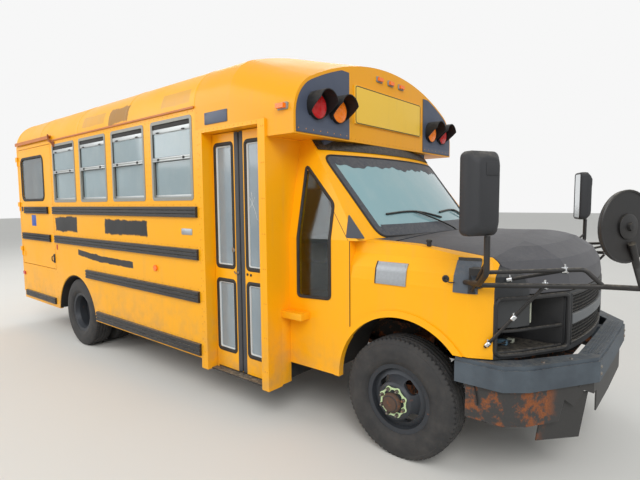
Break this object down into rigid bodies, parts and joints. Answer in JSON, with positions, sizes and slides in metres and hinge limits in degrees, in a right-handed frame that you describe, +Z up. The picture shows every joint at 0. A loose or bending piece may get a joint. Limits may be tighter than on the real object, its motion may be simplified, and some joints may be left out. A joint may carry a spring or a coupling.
{
  "type": "short school bus",
  "caption": "Short school bus on a van chassis, with a rear side lift door, outward-opening entrance leaves, a hood, an emergency door and crossview mirrors.",
  "frame": {"origin": "on the ground under the middle of the overall length, on the centre line", "axes": "+X to the front, +Y to the driver's side, +Z up"},
  "size_m": [7.1479, 3.1252, 2.8608],
  "materials": {
    "body_yellow": "faded gloss",
    "cap_yellow": "smooth fibreglass",
    "frame_black": "dull",
    "axle_grey": "rusty",
    "engine_grey": "rough",
    "exhaust_steel": "heat stained",
    "floor_black": "ribbed",
    "rail_black": "dull",
    "sash_aluminium": "satin",
    "glass_clear": "clear",
    "grille_black": "dull",
    "lamp_clear": "clear",
    "bumper_grey": "faded",
    "valance_grey": "scraped",
    "trim_blue_black": "satin",
    "lamp_red": "translucent",
    "lamp_amber": "translucent",
    "sign_yellow": "faded",
    "arm_black": "rust spotted",
    "mirror_dark": "grained",
    "seat_green": "vinyl",
    "interior_grey": "grained",
    "grip_black": "grained",
    "tyre_black": "worn",
    "wheel_grey": "rust spotted",
    "hood_grey": "matt",
    "door_black": "faded gloss",
    "stop_red": "satin"
  },
  "bodies": {
    "bus": {"chassis_frame": "frame_black", "front_axle": "axle_grey", "rear_axle": "axle_grey", "engine_block": "engine_grey", "exhaust": "exhaust_steel", "body_floor": "floor_black", "step_well": "floor_black", "side_wall_right": "body_yellow", "side_wall_left": "body_yellow", "rear_wall": "body_yellow", "roof": "body_yellow", "front_cap": "cap_yellow", "entry_portal": "body_yellow", "rub_rails": "rail_black", "window_sashes": "sash_aluminium", "window_glass": "glass_clear", "cab_shell": "body_yellow", "fender_left": "body_yellow", "fender_right": "body_yellow", "nose_panel": "grille_black", "cowl_panel": "hood_grey", "grille": "grille_black", "headlamp_buckets": "grille_black", "headlamp_left": "lamp_clear", "front_bumper": "bumper_grey", "bumper_valance": "valance_grey", "rear_bumper": "frame_black", "cap_trim": "trim_blue_black", "warning_lamps": "lamp_red", "blank_signs": "sign_yellow", "marker_lamps": "lamp_amber", "mirror_arms": "arm_black", "mirror_heads": "mirror_dark", "crossview_mirrors": "arm_black", "seats": "seat_green", "seat_frames": "frame_black", "cab_interior": "interior_grey", "steering_wheel": "grip_black"},
    "knuckle_left": {"knuckle_left": "axle_grey"},
    "knuckle_right": {"knuckle_right": "axle_grey"},
    "wheel_front_left": {"front_tyre_left": "tyre_black", "front_rim_left": "wheel_grey"},
    "wheel_front_right": {"front_tyre_right": "tyre_black", "front_rim_right": "wheel_grey"},
    "wheel_rear_left": {"rear_tyres_left": "tyre_black", "rear_rims_left": "wheel_grey"},
    "wheel_rear_right": {"rear_tyres_right": "tyre_black", "rear_rims_right": "wheel_grey"},
    "hood": {"hood": "hood_grey"},
    "driver_door": {"driver_door": "body_yellow", "driver_door_glass": "glass_clear"},
    "entry_leaf_front": {"entry_leaf_front": "door_black", "entry_glass_front": "glass_clear"},
    "entry_leaf_rear": {"entry_leaf_rear": "door_black", "entry_glass_rear": "glass_clear"},
    "lift_door": {"lift_door": "body_yellow", "lift_door_glass": "glass_clear"},
    "rear_door": {"rear_door": "body_yellow", "rear_door_glass": "glass_clear"},
    "stop_arm": {"stop_arm": "stop_red"}
  },
  "joints": [
    {"name": "steer_left", "type": "hinge", "parent": "bus", "child": "knuckle_left", "pos_m": [2.286, 0.8, 0.386], "axis": [0, 0, 1], "range_deg": [-32, 32]},
    {"name": "steer_right", "type": "hinge", "parent": "bus", "child": "knuckle_right", "pos_m": [2.286, -0.8, 0.386], "axis": [0, 0, 1], "range_deg": [-32, 32]},
    {"name": "spin_front_left", "type": "hinge", "parent": "knuckle_left", "child": "wheel_front_left", "pos_m": [2.286, 0.868, 0.386], "axis": [0, 1, 0], "continuous": true},
    {"name": "spin_front_right", "type": "hinge", "parent": "knuckle_right", "child": "wheel_front_right", "pos_m": [2.286, -0.868, 0.386], "axis": [0, 1, 0], "continuous": true},
    {"name": "spin_rear_left", "type": "hinge", "parent": "bus", "child": "wheel_rear_left", "pos_m": [-1.753, 0.954, 0.386], "axis": [0, 1, 0], "continuous": true},
    {"name": "spin_rear_right", "type": "hinge", "parent": "bus", "child": "wheel_rear_right", "pos_m": [-1.753, -0.954, 0.386], "axis": [0, 1, 0], "continuous": true},
    {"name": "hood_hinge", "type": "hinge", "parent": "bus", "child": "hood", "pos_m": [2.249, 0, 1.372], "axis": [0, -1, 0], "range_deg": [0, 50]},
    {"name": "driver_door_hinge", "type": "hinge", "parent": "bus", "child": "driver_door", "pos_m": [1.913, 0.982, 1.1], "axis": [0, 0, -1], "range_deg": [0, 65]},
    {"name": "entry_front_hinge", "type": "hinge", "parent": "bus", "child": "entry_leaf_front", "pos_m": [1.311, -1.122, 1.2], "axis": [0, 0, 1], "range_deg": [0, 85]},
    {"name": "entry_rear_hinge", "type": "hinge", "parent": "bus", "child": "entry_leaf_rear", "pos_m": [0.701, -1.122, 1.2], "axis": [0, 0, -1], "range_deg": [0, 85]},
    {"name": "lift_door_hinge", "type": "hinge", "parent": "bus", "child": "lift_door", "pos_m": [-3.4255, -1.229, 1.6], "axis": [0, 0, -1], "range_deg": [0, 100]},
    {"name": "rear_door_hinge", "type": "hinge", "parent": "bus", "child": "rear_door", "pos_m": [-3.504, -0.4515, 1.5], "axis": [0, 0, 1], "range_deg": [0, 100]},
    {"name": "stop_arm_hinge", "type": "hinge", "parent": "bus", "child": "stop_arm", "pos_m": [0.856, 1.265, 1.385], "axis": [0, 0, -1], "range_deg": [0, 90]}
  ],
  "couplings": [
    {"joint": "steer_right", "follows": "steer_left", "ratio": 1},
    {"joint": "entry_rear_hinge", "follows": "entry_front_hinge", "ratio": 1}
  ]
}
